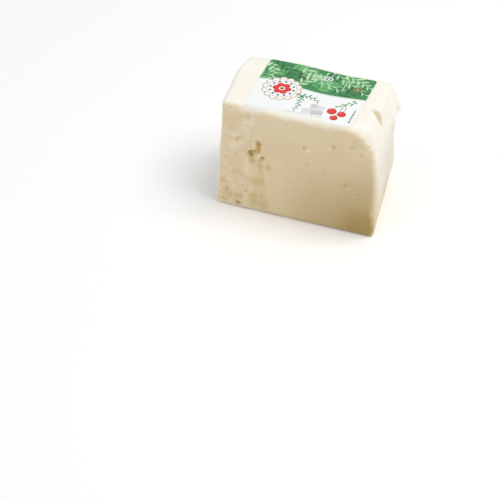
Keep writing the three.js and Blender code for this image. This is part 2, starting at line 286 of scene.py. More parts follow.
@dataclass(frozen=True)
class BlockForm:
    """The block's main form, the same as its solid's, in millimetres.

    soft_rim is the middle and the reach of the rim's rounder stretch, as shares of the width, and what it
    adds to the radius. worn_reach is where the worn corner starts, as shares of the width, depth and height.
    """

    width: float = 104.0
    depth: float = 60.0
    height: float = 78.5
    moulded_radius: float = 5.0
    cut_radius: float = 4.0
    soft_rim: Triple = (0.2, 0.11, 2.8)
    foot_radius: float = 3.0
    worn_radius: float = 9.0
    worn_reach: Triple = (0.84, 0.35, 0.72)
    left: Side = Side((0, 0.5, 1), (-1.8, 0.8, 3.1), (-0.6, 0.4, 1.8))
    left_belly: float = 2.6
    right: Side = Side(
        (0, 0.2, 0.5, 0.78, 1),
        (104, 105.3, 106, 103, 98.6),
        (93.5, 96.8, 95.7, 100.6, 96.5),
    )
    cut_lean: float = 1.2
    cut_belly: float = 1.4
    crown: float = 0.7
    rear_dip: float = 1.3
    rear_dip_x: float = 66.0
    rear_dip_reach: float = 17.0
    dent: float = 0.22
    dent_size: float = 19.0
    foot_fade: float = 5.0
    crumbly_width: float = 30.0
    crumbly_blend: float = 5.0
    crumbly_set_back: float = 0.7
    crumbly_relief: float = 0.9
    crumbly_size: float = 5.5
    crease_relief: float = 0.35
    crease_size: Triple = (6.0, 6.0, 26.0)

    def edge_radius(self, s: Array, t: Array, h: Array) -> Array:
        """Gives the edge radius at places on the box's surface.

        Args:
            s: shares of the width.
            t: shares of the depth.
            h: shares of the height.

        Returns:
            One radius for each place.
        """
        middle, reach, more = self.soft_rim
        front = self.cut_radius + more * bell(middle, reach, s) * ease(0.84, 0.96, h)
        sides = front + (self.moulded_radius - front) * ease(0, 0.3, t)
        from_s, from_t, from_h = self.worn_reach
        worn = ease(from_s, 0.98, s) * ease(from_t, 0, t) * ease(from_h, 0.97, h)
        upper = sides + (self.worn_radius - sides) * worn
        return self.foot_radius + (upper - self.foot_radius) * ease(0, 0.25, h)

    def warp(self, points: Array) -> Array:
        """Leans, tapers and bows the straight rounded block into the real one.

        Args:
            points: points of the straight block, one to a row.

        Returns:
            The same points on the real block.
        """
        x, y, z = points.T
        s, t, h = x / self.width, y / self.depth, z / self.height
        left = self.left.at(t, h) - self.left_belly * h * np.sin(np.pi * t)
        right = self.right.at(t, h)
        belly = self.cut_belly * np.sin(np.pi * s) * np.sin(np.pi * h)
        dip = self.rear_dip * bell(self.rear_dip_x, self.rear_dip_reach, x) * ease(0.55, 1, t)
        crown = self.crown * np.sin(np.pi * s) * np.sin(np.pi * t) - dip
        new_y = y + (1 - t) * (self.cut_lean * h - belly)
        return np.stack((left + s * (right - left), new_y, z + h * crown), axis=1)

    def crumbly(self, points: Array, normals: Array) -> Array:
        """Says how far each place belongs to the crumbly left stretch of the cut face, from 0 to 1."""
        on_cut = ease(-0.5, -0.95, normals[:, 1])
        edge = self.crumbly_width
        return on_cut * ease(edge + self.crumbly_blend, edge - self.crumbly_blend, points[:, 0])

    def broad_relief(self, points: Array, normals: Array) -> Array:
        """Gives the relief that the solid has too.

        Args:
            points: points of the warped block.
            normals: their outward directions.

        Returns:
            How far the skin stands out at each point.
        """
        dents = self.dent * broad_noise(points, self.dent_size)
        crags = self.crumbly_relief * broad_noise(points, self.crumbly_size)
        upright = ease(0.3, 0.9, normals[:, 0])
        creases = self.crease_relief * upright * broad_noise(points, self.crease_size)
        foot = ease(0, self.foot_fade, points[:, 2])
        return foot * (dents + creases + self.crumbly(points, normals) * (crags - self.crumbly_set_back))

    def skin(self, s: Array, t: Array, h: Array) -> tuple[Array, Array]:
        """Gives the skin above places on the box's surface, without its fine relief.

        Args:
            s: shares of the width.
            t: shares of the depth.
            h: shares of the height.

        Returns:
            The points in millimetres and their outward directions.
        """
        on_box = np.stack((s * self.width, t * self.depth, h * self.height), axis=1)
        radius = self.edge_radius(s, t, h)[:, None]
        high = np.array([self.width, self.depth, self.height]) - radius
        inner = np.minimum(np.maximum(on_box, radius), high)
        normals = on_box - inner
        normals /= np.linalg.norm(normals, axis=1, keepdims=True)
        warped = self.warp(inner + normals * radius)
        return warped + normals * self.broad_relief(warped, normals)[:, None], normals

    def top_height(self, x: Array, y: Array) -> Array:
        """Gives the height of the top skin.

        Args:
            x: places along the cut.
            y: places back from the cut.

        Returns:
            The skin's z at each place.
        """
        s, t = x / self.width, y / self.depth
        ones = np.ones_like(s)
        for _ in range(12):
            found, _normals = self.skin(s, t, ones)
            s = s + (x - found[:, 0]) / self.width
            t = t + (y - found[:, 1]) / self.depth
        return self.skin(s, t, ones)[0][:, 2]


@dataclass(frozen=True)
class Place:
    """Where the block's own frame lies in the shared one, worked out from the label's packed box.

    label_x and label_y are the label's left front corner in the block's own frame, in millimetres.
    """

    label_x: float = 16.2
    label_y: float = 3.2

    def offset(self) -> Array:
        """Gives the shared frame's origin in the block's own frame, in millimetres."""
        low, _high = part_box(LABEL_NODE)
        return np.array([self.label_x - low.x / MM, self.label_y - low.y / MM, 0.0])

    def to_frame(self, points: Array) -> Array:
        """Turns points in millimetres in the block's own frame into metres in the shared one."""
        return (np.asarray(points) - self.offset()) * MM


class Recipe:
    """Writes one node tree, a node and a link at a time."""

    def __init__(self, tree: bpy.types.NodeTree) -> None:
        """Takes the tree to write."""
        self.tree = tree

    def node(self, kind: str, settings: dict | None = None, **inputs: object) -> bpy.types.Node:
        """Adds a node.

        Args:
            kind: Blender's name for the node's type.
            settings: properties of the node itself.
            inputs: a value or an output socket for each input, by name with _ for a space.

        Returns:
            The new node.
        """
        made = self.tree.nodes.new(kind)
        for name, value in (settings or {}).items():
            setattr(made, name, value)
        for name, value in inputs.items():
            self.feed(made, name.replace("_", " "), value)
        return made

    def feed(self, node: bpy.types.Node, name: str, value: object) -> None:
        """Sets or links one input.

        Args:
            node: the node that owns the input.
            name: the input's name, or its number as text.
            value: an output socket, or a plain value.
        """
        socket = node.inputs[int(name)] if name.isdigit() else self.shown(node, name)
        if isinstance(value, Socket):
            self.tree.links.new(value, socket)
        else:
            socket.default_value = value

    @staticmethod
    def shown(node: bpy.types.Node, name: str) -> Socket:
        """Finds the enabled input of that name."""
        return next(socket for socket in node.inputs if socket.name == name and socket.enabled)

    def math(self, operation: str, *values: object) -> Socket:
        """Adds a Math node.

        Args:
            operation: what it works out.
            values: its inputs in order.

        Returns:
            Its result.
        """
        made = self.node("ShaderNodeMath", {"operation": operation})
        for number, value in enumerate(values):
            self.feed(made, str(number), value)
        return made.outputs[0]

    def times(self, first: object, *others: object) -> Socket:
        """Multiplies values together."""
        for other in others:
            first = self.math("MULTIPLY", first, other)
        return first

    def noise(self, coords: Socket, scale: float, detail: float) -> Socket:
        """Adds a noise texture."""
        return self.node("ShaderNodeTexNoise", Vector=coords, Scale=scale, Detail=detail).outputs["Fac"]

    def ramp(self, value: Socket, low: float, high: float) -> Socket:
        """Steps a value smoothly from 0 at low to 1 at high."""
        settings = {"interpolation_type": "SMOOTHSTEP"}
        made = self.node("ShaderNodeMapRange", settings, Value=value, From_Min=low, From_Max=high)
        return made.outputs["Result"]

    def mix(self, share: object, first: object, second: object) -> Socket:
        """Mixes two colours by a share."""
        made = self.node("ShaderNodeMix", {"data_type": "RGBA"})
        for number, value in ((0, share), (6, first), (7, second)):
            self.feed(made, str(number), value)
        return made.outputs[2]

    def bump(self, height: Socket, strength: object, deep: float) -> Socket:
        """Turns a height into a bumped normal."""
        made = self.node("ShaderNodeBump", Height=height, Strength=strength, Distance=deep)
        return made.outputs["Normal"]


def new_finish(name: str) -> tuple[bpy.types.Material, Recipe, bpy.types.Node]:
    """Starts a material.

    Args:
        name: the finish in plain words.

    Returns:
        The material, the recipe of its tree and its shader.
    """
    made = bpy.data.materials.new(name)
    made.use_nodes = True
    return made, Recipe(made.node_tree), made.node_tree.nodes["Principled BSDF"]


@dataclass(frozen=True)
class CheeseFinish:
    """Moist white cheese: ivory moulded faces, a creamier cut and yellowish openings, with painted shade:
    greyer streaks in the moulded faces' folds, and a darker, yellower tone low down and at the right.
    """

    name: str = "moist white cheese"
    moulded: Triple = (248, 245, 236)
    cream: Triple = (243, 237, 223)
    creased: Triple = (224, 221, 211)
    cut: Triple = (233, 216, 182)
    damp: Triple = (171, 145, 85)
    brine: Triple = (206, 182, 122)
    curd: Triple = (242, 234, 212)
    ochre: Triple = (212, 171, 96)
    olive: Triple = (186, 164, 94)
    mottle_scale: float = 140.0
    patch_scale: float = 38.0
    patch_strength: float = 0.1
    fold_scale: float = 150.0
    fold_shape: Triple = (1.0, 1.0, 0.12)
    fold_strength: float = 0.8
    cloud_strength: float = 0.3
    skin_damp: float = 0.7
    roughness: Pair = (0.34, 0.5)
    roughness_spread: float = 0.25
    grain_scales: Pair = (900.0, 3200.0)
    grain_strength: Pair = (0.16, 0.06)
    grain_depth: float = 0.0004
    refraction: float = 1.4
    glow: float = 0.25
    glow_radius: Triple = (1.0, 0.75, 0.45)
    glow_scale: float = 0.005

    def material(self) -> bpy.types.Material:
        """Makes the material.

        Returns:
            A material that reads the skin's own tone attribute and Object coordinates.
        """
        made, recipe, shader = new_finish(self.name)
        coords = recipe.node("ShaderNodeTexCoord").outputs["Object"]
        tone = recipe.node("ShaderNodeAttribute", {"attribute_name": "tone"})
        cut, stain, curd = recipe.node("ShaderNodeSeparateColor", Color=tone.outputs["Color"]).outputs
        mottle = recipe.noise(coords, self.mottle_scale, 4)
        patches = recipe.noise(coords, self.patch_scale, 3)
        upright = recipe.node("ShaderNodeVectorMath", {"operation": "MULTIPLY"})
        recipe.feed(upright, "0", coords)
        recipe.feed(upright, "1", self.fold_shape)
        folds = recipe.ramp(recipe.noise(upright.outputs[0], self.fold_scale, 3), 0.32, 0.68)
        shade_share = recipe.math("MULTIPLY_ADD", cut, 1.0 - self.skin_damp, self.skin_damp)
        shade_tone = recipe.mix(cut, linear(self.brine), linear(self.damp))
        tint = recipe.mix(recipe.ramp(patches, 0.35, 0.68), linear(self.olive), linear(self.ochre))
        layers = (
            (recipe.times(recipe.ramp(patches, 0.4, 0.7), self.cloud_strength), linear(self.cream)),
            # Painted shade: greyer streaks where the moulded faces fold, from the curd channel
            (recipe.times(folds, curd, self.fold_strength), linear(self.creased)),
            (cut, linear(self.cut)),
            # Painted shade: darker and yellower low down and at the right, as the tone's alpha says, a
            # little less on the moulded faces
            (recipe.times(shade_share, tone.outputs["Alpha"]), shade_tone),
            (recipe.times(curd, recipe.ramp(mottle, 0.42, 0.66), cut), linear(self.curd)),
            (recipe.times(recipe.ramp(patches, 0.35, 0.75), self.patch_strength, cut), linear(self.damp)),
            (stain, tint),
        )
        color = linear(self.moulded)
        for share, over in layers:
            color = recipe.mix(share, color, over)
        smooth, dull = self.roughness
        rough = recipe.node("ShaderNodeMapRange", Value=cut, To_Min=smooth, To_Max=dull).outputs["Result"]
        uneven = recipe.times(recipe.math("SUBTRACT", mottle, 0.5), self.roughness_spread)
        inputs = {
            "Base Color": color,
            "Roughness": recipe.math("ADD", rough, uneven),
            "Normal": self.grain(recipe, coords, cut),
            "Subsurface Weight": self.glow,
            "Subsurface Radius": self.glow_radius,
            "Subsurface Scale": self.glow_scale,
            "IOR": self.refraction,
        }
        for name, value in inputs.items():
            recipe.feed(shader, name, value)
        return made

    def grain(self, recipe: Recipe, coords: Socket, cut: Socket) -> Socket:
        """Adds the fine grain of the curd, stronger on the cut.

        Args:
            recipe: the tree being written.
            coords: Object coordinates.
            cut: 1 on the cut face and 0 on the moulded ones.

        Returns:
            The bumped normal.
        """
        coarse_scale, fine_scale = self.grain_scales
        fine = recipe.times(recipe.noise(coords, fine_scale, 2), 0.5)
        height = recipe.math("ADD", recipe.noise(coords, coarse_scale, 3), fine)
        strength = recipe.math("MULTIPLY_ADD", cut, *self.grain_strength)
        return recipe.bump(height, strength, self.grain_depth)


@dataclass
class Skin:
    """The block's skin, point by point, with what the parts of the block have added to it so far.

    height is how far a point is pushed out, stain how stained it is, with painted shade in the right side's
    dent, curd how far it shows bare curd on the cut and how much painted shade it has in the folds
    elsewhere, and facing how far it belongs to the cut face.
    """

    points: Array
    normals: Array
    facing: Array = field(init=False)
    height: Array = field(init=False)
    stain: Array = field(init=False)
    curd: Array = field(init=False)

    def __post_init__(self) -> None:
        """Starts with nothing added."""
        self.facing = ease(-0.45, -0.9, self.normals[:, 1])
        self.height, self.stain, self.curd = (np.zeros(len(self.points)) for _ in range(3))


@dataclass(frozen=True)
class Strewing:
    """Small pits or crumbs that a seeded rule strews over part of the skin."""

    count: int
    radius: Pair
    seed: int = 20

    def at(self, points: Array, edge: Array) -> Array:
        """Works out which of them each point lies in.

        Args:
            points: points of that part of the skin.
            edge: how ragged their edges are at each point.

        Returns:
            The radius of the one that each point lies in, fading to 0 at its edge.
        """
        rng = np.random.default_rng(self.seed + self.count)
        found = np.zeros(len(points))
        for centre in points[rng.integers(0, len(points), self.count)]:
            radius = rng.uniform(*self.radius)
            near = np.flatnonzero(np.abs(points - centre).max(axis=1) < 2 * radius)
            away = np.linalg.norm(points[near] - centre, axis=1) / radius + edge[near]
            found[near] = np.maximum(found[near], radius * ease(1, 0.4, away))
        return found


@dataclass(frozen=True)
class Rim:
    """The pale rim along the top of the cut, where the moulded skin turns over its edge, in millimetres.

    A bump is its size and its depth. The low stretch is the x of its middle, its reach and how much lower
    the rim hangs there. The worn corner is an oval about corner_middle, of corner_reach, in x and z. width
    and height are the block's own.
    """

    width: float
    height: float
    drop: float = 2.7
    soft: float = 2.1
    bumps: tuple[Pair, ...] = ((9.0, 1.1), (2.4, 0.5))
    left_rise: float = 1.7
    right_drop: float = 0.5
    low_stretch: Triple = (21.0, 9.0, 2.3)
    corner_middle: Pair = (84.0, 52.0)
    corner_reach: Pair = (20.5, 26.0)
    torn: float = 0.08
    torn_size: Triple = (3.2, 3.2, 1.5)

    def cut_tone(self, points: Array) -> Array:
        """Says where the cut's own tone has begun below the rim.

        Args:
            points: points of the skin.

        Returns:
            A share for each point, from 0 on the rim to 1.
        """
        x, _y, z = points.T
        wave = sum(deep * broad_noise(points, size) for size, deep in self.bumps)
        drop = self.drop + wave + self.right_drop * ease(74, 86, x) - self.left_rise * ease(17, 5, x)
        low_x, low_reach, low = self.low_stretch
        drop += low * bell(low_x, low_reach, x)
        under = ease(drop - self.soft, drop + self.soft, self.height + 0.4 - z)
        middle_x, middle_z = self.corner_middle
        reach_x, reach_z = self.corner_reach
        out = np.hypot(np.maximum(x - middle_x, 0) / reach_x, np.maximum(z - middle_z, 0) / reach_z)
        torn = self.torn * ease(52, 66, z) * ease(85, 93, x) * broad_noise(points, self.torn_size)
        corner = ease(1.04, 0.82, out + 0.05 * wave + torn)
        along = ease(0.4, 0.8, x / self.width)
        return np.where((x > middle_x) & (z > middle_z), corner, under + (corner - under) * along)


@dataclass(frozen=True)
class CutFace:
    """The cut face: its openings, its crumbly stretch and its fine relief, in millimetres."""

    form: BlockForm
    rim: Rim
    pin_count: int = 22
    pin_radius: Pair = (0.25, 0.5)
    seed: int = 20
    ragged: float = 0.34
    ragged_size: float = 1.5
    pushed: float = 0.7
    pushed_size: float = 2.6
    broken_size: float = 9.0
    lump_size: float = 3.6
    lumps: float = 0.3
    grain_size: float = 1.3
    grains: float = 0.07
    crack_size: Triple = (9.0, 9.0, 3.2)
    cracks: float = 0.22
    streak_size: Triple = (26.0, 4.0, 1.1)
    streaks: float = 0.03
    smooth_lumps: float = 0.03
    hairlines: float = 0.02
    trough: float = 0.25
    trough_x: float = 29.0
    trough_half: float = 2.0
    crumbs: float = 0.2
    strewn_crumbs: Strewing = Strewing(200, (0.5, 1.5))
    crack_stain: float = 0.16
    trough_stain: float = 0.1
    lump_curd: float = 0.5
    flake_curd: float = 1.2
    crumb_curd: float = 0.22
    top_curd: float = 0.4

    def openings(self) -> list[tuple[Mark, Opening]]:
        """Lists the marks of the table and the small pinholes that a seeded rule adds."""
        rng = np.random.default_rng(self.seed)
        found = [(mark, kind) for kind, marks in MARKS.items() for mark in marks]
        for _ in range(self.pin_count):
            x = self.form.width * (0.04 + 0.9 * rng.random() ** 2.4)
            z = self.form.height * rng.uniform(0.06, 0.93)
            radius = rng.uniform(*self.pin_radius)
            pin = (x, z, radius * rng.uniform(1, 1.8), radius, rng.uniform(-0.6, 0.6))
            found.append((pin, Opening.PIN))
        return found

    def hollow(self, x: Array, z: Array) -> tuple[Array, Array, Array]:
        """Works out the openings of the cut face.

        Args:
            x: places along the cut.
            z: their heights.

        Returns:
            How deep the openings go at each place, how stained it is, and how far a flake lies there.
        """
        points = np.stack((x, np.zeros_like(x), z), axis=1)
        ragged = self.ragged * fine_noise(points, self.ragged_size, 3)
        push_x = self.pushed * fine_noise(points + (50, 0, 0), self.pushed_size, 2)
        push_z = self.pushed * fine_noise(points + (0, 50, 0), self.pushed_size, 2)
        deep, stain, flake = (np.zeros_like(x) for _ in range(3))
        for (centre_x, centre_z, wide, tall, turn), kind in self.openings():
            share, tint, soft = kind.value
            small = min(1.0, min(wide, tall))
            dx, dz = x - centre_x + small * push_x, z - centre_z + small * push_z
            along = (dx * math.cos(turn) + dz * math.sin(turn)) / wide
            across = (dz * math.cos(turn) - dx * math.sin(turn)) / tall
            reach = np.hypot(along, across) + ragged
            inside = ease(1 + soft, 1 - soft, reach)
            depth = share * min(wide, tall) * inside
            deep = np.where(np.abs(depth) > np.abs(deep), depth, deep)
            stain = np.maximum(stain, tint * (0.66 * inside + 0.34 * ease(2.6, 0.6, reach)))
            if kind is Opening.FLAKE:
                flake = np.maximum(flake, inside)
        return deep, stain * (1 - 0.8 * flake), flake

    def shape(self, skin: Skin) -> None:
        """Adds the cut's openings, lumps, cracks and crumbs to the skin, with painted light just below the
        rim.
        """
        front = skin.facing > 0
        facing, points = skin.facing[front], skin.points[front]
        x, _y, z = points.T
        crumbly = self.form.crumbly(points, skin.normals[front])
        loose = np.clip(crumbly + 0.8 * ease(84, 98, x) * ease(56, 72, z), 0, 1)
        broken = ease(-0.15, 0.35, fine_noise(points, self.broken_size, 2))
        lumps = fine_noise(points, self.lump_size, 4)
        streaks = fine_noise(points, self.streak_size, 2)
        cracks = ease(0.07, 0, np.abs(fine_noise(points, self.crack_size, 2))) * broken
        trough = bell(self.trough_x, self.trough_half, x) * ease(60, 44, z)
        grains = fine_noise(points, self.grain_size, 2)
        rough = self.lumps * lumps + self.grains * grains - self.cracks * cracks - self.trough * trough
        bare = np.flatnonzero(crumbly > 0.5)
        crumbs = np.zeros(len(points))
        crumbs[bare] = self.strewn_crumbs.at(points[bare], 0.5 * grains[bare])
        smooth = self.smooth_lumps * lumps + self.streaks * streaks - self.hairlines * cracks
        deep, spots, flake = self.hollow(x, z)
        skin.height[front] = facing * (loose * rough + self.crumbs * crumbs + smooth - deep)
        sunk = self.crack_stain * cracks + self.trough_stain * trough
        skin.stain[front] = facing * np.clip(spots + loose * sunk, 0, 1)
        bright = self.lump_curd * loose * ease(-0.3, 0.6, lumps) + self.flake_curd * flake
        # Painted light: the crumbly stretch is lightened just below the rim, where it leans back into shade
        bright += self.crumb_curd * np.minimum(crumbs, 1) + self.top_curd * crumbly * ease(60, 74, z)
        skin.curd[front] = facing * np.clip(bright, 0, 1) * self.rim.cut_tone(points)


@dataclass(frozen=True)
class MouldedSides:
    """The moulded faces' fine relief and the small forms on them, in millimetres, with shade painted in
    their folds, low on the right side and in the dent.

    A wave is its size, its octaves and its depth. A swell is the z of its middle, its reach and how far it
    stands out. The dent is the y and z of its middle and its half width.
    """

    waves: tuple[tuple[float, int, float], ...] = ((9.0, 3, 0.16), (1.6, 2, 0.03))
    crease_size: Triple = (4.5, 4.5, 40.0)
    right_creases: float = 0.11
    plain_creases: float = 0.06
    fold_size: Triple = (9.0, 9.0, 70.0)
    folds: float = 0.34
    swells: tuple[Triple, ...] = (
        (78.0, 7.5, -0.9),
        (62.6, 3.6, 1.15),
        (55.4, 4.6, -1.9),
        (32.0, 15.0, 1.8),
    )
    dent: Triple = (51.5, 63.6, 2.6)
    dent_deep: float = 0.6
    dent_stain: float = 0.22
    left_full: float = 1.2
    left_worn: float = 1.3
    right_creased: float = 0.7
    plain_creased: float = 0.3
    pits: Strewing = Strewing(90, (0.35, 1.1))
    pit_deep: float = 0.45
    pit_stain: float = 0.16

    def swell(self, points: Array) -> tuple[Array, Array]:
        """Gives the lip at the back of the right side with the hollow under it, and the small dent on it.

        Args:
            points: points of the skin.

        Returns:
            How far the side stands out at each point, and how far each lies in the dent.
        """
        _x, y, z = points.T
        total = sum(out * bell(middle, reach, z) for middle, reach, out in self.swells)
        dent_y, dent_z, half = self.dent
        dent = ease(1.2, 0.2, np.hypot((y - dent_y) / half, (z - dent_z) / half))
        return ease(26, 48, y) * total - self.dent_deep * dent, dent

    def left_corner(self, points: Array, normals: Array) -> Array:
        """Gives the fuller left side near the back of the top, and the worn top corner behind it."""
        x, y, z = points.T
        full = self.left_full * ease(0.0, -0.9, normals[:, 0]) * ease(54, 70, z) * bell(44, 14, y)
        return full - self.left_worn * ease(0.0, 0.8, normals[:, 2]) * ease(26, 4, x) * ease(44, 60, y)

    def shape(self, skin: Skin) -> None:
        """Adds the waves, upright creases, swells and pits to the skin, with painted shade in the folds, low
        on the right side and in the dent.
        """
        points, normals = skin.points, skin.normals
        moulded = 1 - skin.facing
        waves = sum(deep * fine_noise(points, size, octaves) for size, octaves, deep in self.waves)
        right = ease(0.4, 0.9, normals[:, 0])
        plain = ease(0.4, 0.9, np.maximum(-normals[:, 0], normals[:, 1]))
        creases = self.right_creases * right + self.plain_creases * plain
        skin.height += moulded * waves
        skin.height += creases * fine_noise(points, self.crease_size, 2)
        skin.height += self.folds * right * fine_noise(points + (0, 20, 0), self.fold_size, 2)
        swell, dent = self.swell(points)
        skin.height += right * swell + self.left_corner(points, normals)
        # Painted shade: the dent is darkened with the stain tint
        skin.stain += self.dent_stain * right * dent
        # Painted shade in the curd channel: greyer folds on the right side, darker towards its foot, and on
        # the left and back
        skin.curd += self.right_creased * right * (0.2 + 0.8 * ease(66, 46, points[:, 2]))
        skin.curd += self.plain_creased * plain
        pits = self.pits.at(points, np.zeros(len(points)))
        skin.height -= moulded * self.pit_deep * pits
        skin.stain += moulded * self.pit_stain * np.minimum(pits, 1)


@dataclass(frozen=True)
class Cavity:
    """The pointed cavity across the top right edge, from its upper tip to its lower, in millimetres."""

    tips: tuple[Triple, ...] = ((92.9, 25.2, 78.5), (100.9, 21.4, 70.9))
    half: float = 3.3
    deep: float = 1.5
    stain: float = 0.56
    ragged: float = 0.1
    ragged_size: float = 1.6

    def away(self, points: Array) -> Array:
        """Says how far each point lies from the cavity's middle, 1 at its rim."""
        upper, lower = (np.array(tip) for tip in self.tips)
        half = np.linalg.norm(lower - upper) / 2
        long = (lower - upper) / (2 * half)
        wide = np.array([0.0, 1.0, 0.0]) - long[1] * long
        wide /= np.linalg.norm(wide)
        from_middle = points - (upper + lower) / 2
        along, across = from_middle @ long / half, from_middle @ wide / self.half
        near = np.linalg.norm(from_middle, axis=1) < 3 * half
        ragged = self.ragged * broad_noise(points, self.ragged_size)
        return np.where(near, np.hypot(along, across * (1 + 0.5 * along**2)) + ragged, 9.0)

    def shape(self, skin: Skin) -> None:
        """Adds the cavity to the skin."""
        away = self.away(skin.points)
        skin.height -= self.deep * ease(1.1, 0.45, away)
        skin.stain += self.stain * ease(1.2, 0.75, away)


@dataclass(frozen=True)
class Brine:
    """Painted shade with a painted warm bounce: the skin gets darker and yellower low down, most of all at
    the right and at the foot corner.
    """

    everywhere: float = 0.05
    right: float = 0.06
    low: float = 0.05
    low_right: float = 0.66
    corner: float = 0.35
    patch_size: float = 16.0
    patch_shift: float = 4.0

    def damp(self, points: Array) -> Array:
        """Says how much painted shade each point gets, from 0 to 1."""
        x, _y, z = points.T
        uneven = self.patch_shift * broad_noise(points, self.patch_size)
        low = ease(74, 2, z + uneven)
        right = ease(18, 100, x + uneven)
        corner = ease(26, 4, z) * ease(74, 100, x)
        share = self.everywhere + self.right * right + low * (self.low + self.low_right * right)
        return share + self.corner * corner


@dataclass
class CheeseBlock:
    """The block itself: its skin with all that is on it, and the tones that its finish reads."""

    form: BlockForm
    place: Place
    front_step: Pair = (0.32, 0.55)
    up_step: float = 0.38
    side_step: Pair = (0.45, 1.0)
    kept_share: float = 0.56
    foot_fade: float = 2.5
    rim_tone: float = 0.1

    def lattice(self) -> tuple[Array, Array, Array, Array]:
        """Lays a closed grid of quads over the box's six faces.

        Returns:
            Shares of the width, depth and height of each vertex, and the quads.
        """
        form = self.form
        fine, plain = self.front_step
        near, far = self.side_step
        across = graded_lines(form.width, lambda x: fine + (plain - fine) * ease(36, 44, x))
        back = graded_lines(form.depth, lambda y: near + (far - near) * ease(4, 9, y) * ease(60, 56, y))
        up = graded_lines(form.height, lambda z: np.full_like(z, self.up_step))
        counts = np.array([len(across), len(back), len(up)])
        sides = ((1, 0, False), (1, 1, True), (0, 1, False), (0, 0, True), (2, 1, False), (2, 0, True))
        quads = []
        for axis, end, turned in sides:
            u_axis, v_axis = [a for a in range(3) if a != axis]
            steps = (np.arange(counts[u_axis] - 1), np.arange(counts[v_axis] - 1))
            u, v = np.meshgrid(*steps, indexing="ij")
            corners = []
            for du, dv in ((0, 0), (1, 0), (1, 1), (0, 1)):
                index = [None, None, None]
                index[axis] = np.full(u.size, end * (counts[axis] - 1))
                index[u_axis] = u.ravel() + du
                index[v_axis] = v.ravel() + dv
                corners.append(index[0] + counts[0] * (index[1] + counts[1] * index[2]))
            quad = np.stack(corners, axis=1)
            quads.append(quad[:, ::-1] if turned else quad)
        used, faces = np.unique(np.concatenate(quads), return_inverse=True)
        i, rest = used % counts[0], used // counts[0]
        return across[i], back[rest % counts[1]], up[rest // counts[1]], faces.reshape(-1, 4)

    def build(self) -> bpy.types.Object:
        """Makes the block's mesh, with its tones stored on it.

        Returns:
            The finished object, without a material.
        """
        s, t, h, quads = self.lattice()
        rim = Rim(self.form.width, self.form.height)
        skin = Skin(*self.form.skin(s, t, h))
        for part in (CutFace(self.form, rim), MouldedSides(), Cavity()):
            part.shape(skin)
        foot = ease(0, self.foot_fade, skin.points[:, 2])
        points = skin.points + skin.normals * (skin.height * foot)[:, None]
        cut = ease(-0.35, -0.8, skin.normals[:, 1])
        cut *= self.rim_tone + (1 - self.rim_tone) * rim.cut_tone(points)
        mesh = bpy.data.meshes.new("cheese_block_skin")
        places = np.clip(self.place.to_frame(points), *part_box(BLOCK_NODE))
        mesh.from_pydata(places.tolist(), [], quads.tolist())
        mesh.shade_smooth()
        tone = mesh.attributes.new("tone", "FLOAT_COLOR", "POINT")
        # The fourth tone is the painted shade, darker and yellower low down and at the right
        tones = np.stack((cut, skin.stain, skin.curd, Brine().damp(points)), axis=1)
        tone.data.foreach_set("color", tones.ravel())
        block = linked("block_of_cheese", mesh)
        self.thin(block, skin.normals)
        return block

    def thin(self, block: bpy.types.Object, normals: Array) -> None:
        """Takes triangles out of the plain faces, and none out of the cut.

        Args:
            block: the block, with its full mesh.
            normals: the outward directions of its vertices.
        """
        plain = block.vertex_groups.new(name="plain")
        plain.add([int(i) for i in np.flatnonzero(normals[:, 1] > -0.1)], 1.0, "REPLACE")
        thinner = block.modifiers.new("thin", "DECIMATE")
        thinner.ratio = self.kept_share
        thinner.vertex_group = plain.name
        thinned = settled(block)
        block.modifiers.clear()
        block.vertex_groups.clear()
        block.data = thinned


class Ink(Enum):
    """The label's printing inks, and the bare paper, as sRGB colours."""

    PAPER = (240, 242, 243)
    GREEN = (54, 134, 76)
    DEEP_GREEN = (32, 102, 56)
    FRESH_GREEN = (108, 178, 110)
    PALE_GREEN = (180, 219, 174)
    RED = (218, 44, 40)
    DEEP_RED = (170, 26, 30)
    BLUSH = (240, 128, 110)
    NAVY = (48, 52, 98)
    TAN = (178, 146, 96)
    SAND = (206, 186, 150)
    GREY = (196, 198, 198)
    SOFT_GREY = (218, 220, 220)
    DARK_GREY = (112, 116, 118)


